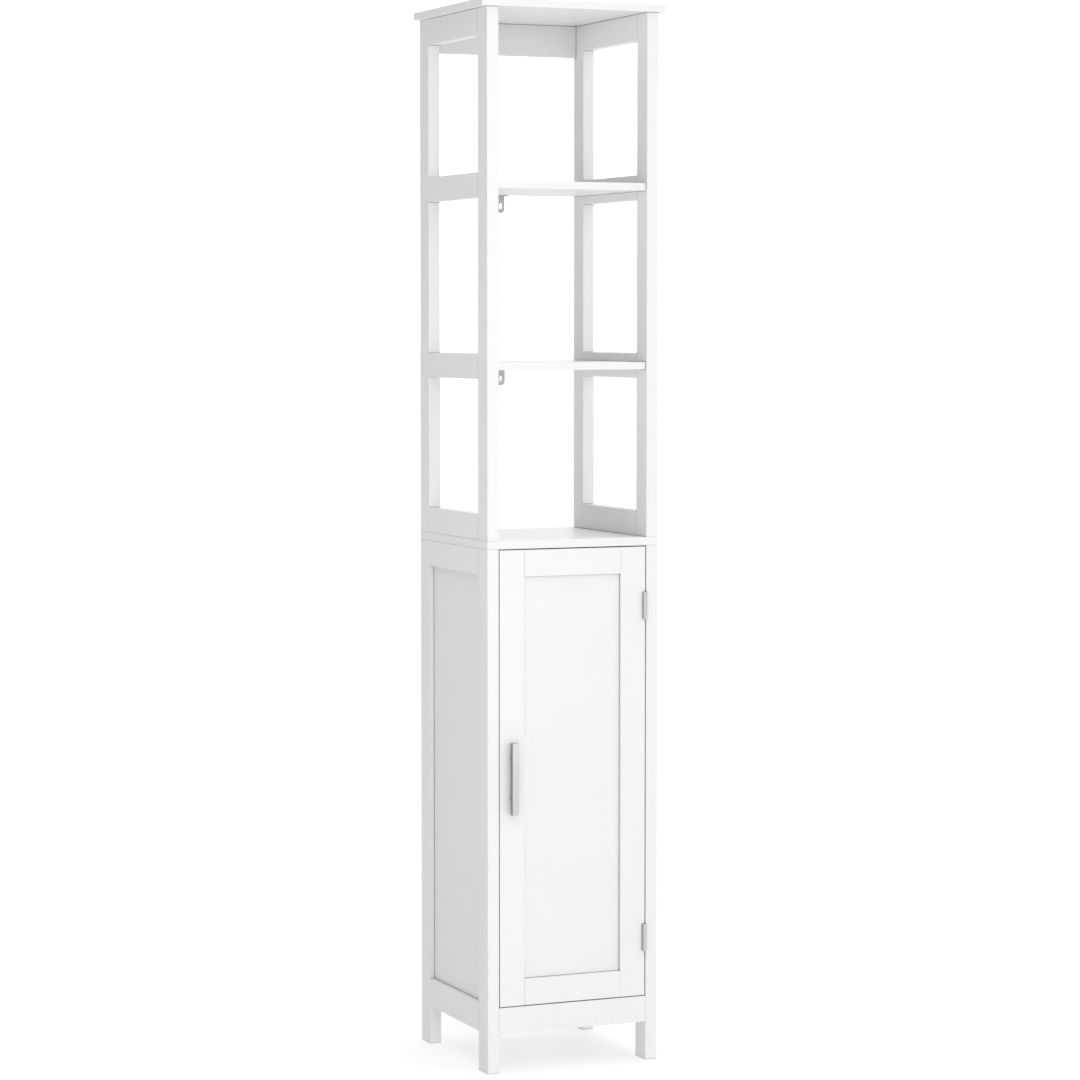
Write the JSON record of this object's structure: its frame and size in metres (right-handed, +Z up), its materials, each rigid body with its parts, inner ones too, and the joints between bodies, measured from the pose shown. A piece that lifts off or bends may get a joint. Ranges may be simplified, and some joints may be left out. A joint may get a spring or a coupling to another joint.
{
  "type": "tall bathroom cabinet",
  "caption": "Tall narrow white cabinet: an open shelved rack over a cupboard on short legs, with a framed panel door on butt hinges and a bar handle.",
  "frame": {"origin": "on the floor, under the middle of the cabinet's overall box, the door closed", "axes": "+Z up along the posts, +Y from the front to the wall side, +X to the right seen from the front"},
  "size_m": [0.318, 0.3046, 1.7],
  "materials": {
    "painted_wood": "smooth satin white paint",
    "bare_wood": "bare ribbed dowel wood",
    "handle_metal": "satin grey metal",
    "hinge_metal": "satin nickel",
    "bracket_metal": "zinc-plated",
    "fastener_metal": "zinc-plated",
    "catch_plastic": "white moulded",
    "magnet": "dark sintered"
  },
  "bodies": {
    "cabinet": {"back_panel": "painted_wood", "back_top_rail": "painted_wood", "bottom_board": "painted_wood", "bracket_screws": "fastener_metal", "cabinet_screws": "fastener_metal", "cam_bolts": "fastener_metal", "cam_nuts": "fastener_metal", "catch_case": "catch_plastic", "catch_magnet": "magnet", "cross_rail_dowels": "bare_wood", "frame_dowels": "bare_wood", "frame_screws": "fastener_metal", "front_rail": "painted_wood", "high_shelf": "painted_wood", "hinge_high_frame_leaf": "hinge_metal", "hinge_low_frame_leaf": "hinge_metal", "hinge_pins": "hinge_metal", "inner_shelf": "painted_wood", "low_shelf": "painted_wood", "lower_bottom_rail_left": "painted_wood", "lower_bottom_rail_right": "painted_wood", "lower_post_front_left": "painted_wood", "lower_post_front_right": "painted_wood", "lower_post_rear_left": "painted_wood", "lower_post_rear_right": "painted_wood", "lower_top_rail_left": "painted_wood", "lower_top_rail_right": "painted_wood", "middle_board": "painted_wood", "shelf_pins": "fastener_metal", "side_panel_left": "painted_wood", "side_panel_right": "painted_wood", "stacking_dowels": "bare_wood", "top_panel": "painted_wood", "upper_base_rail_left": "painted_wood", "upper_base_rail_right": "painted_wood", "upper_high_shelf_rail_left": "painted_wood", "upper_high_shelf_rail_right": "painted_wood", "upper_low_shelf_rail_left": "painted_wood", "upper_low_shelf_rail_right": "painted_wood", "upper_post_front_left": "painted_wood", "upper_post_front_right": "painted_wood", "upper_post_rear_left": "painted_wood", "upper_post_rear_right": "painted_wood", "upper_top_rail_left": "painted_wood", "upper_top_rail_right": "painted_wood", "wall_bracket_high": "bracket_metal", "wall_bracket_low": "bracket_metal"},
    "door": {"door_dowels": "bare_wood", "door_panel": "painted_wood", "door_rail_bottom": "painted_wood", "door_rail_top": "painted_wood", "door_screws": "fastener_metal", "door_stile_hinge": "painted_wood", "door_stile_latch": "painted_wood", "handle_bar": "handle_metal", "handle_posts": "handle_metal", "handle_screws": "fastener_metal", "hinge_high_door_leaf": "hinge_metal", "hinge_low_door_leaf": "hinge_metal", "strike_plate": "fastener_metal"}
  },
  "joints": [
    {"name": "door_hinge", "type": "hinge", "parent": "cabinet", "child": "door", "pos_m": [0.1247, -0.14125, 0.47], "axis": [0, 0, 1], "range_deg": [0, 180]}
  ]
}
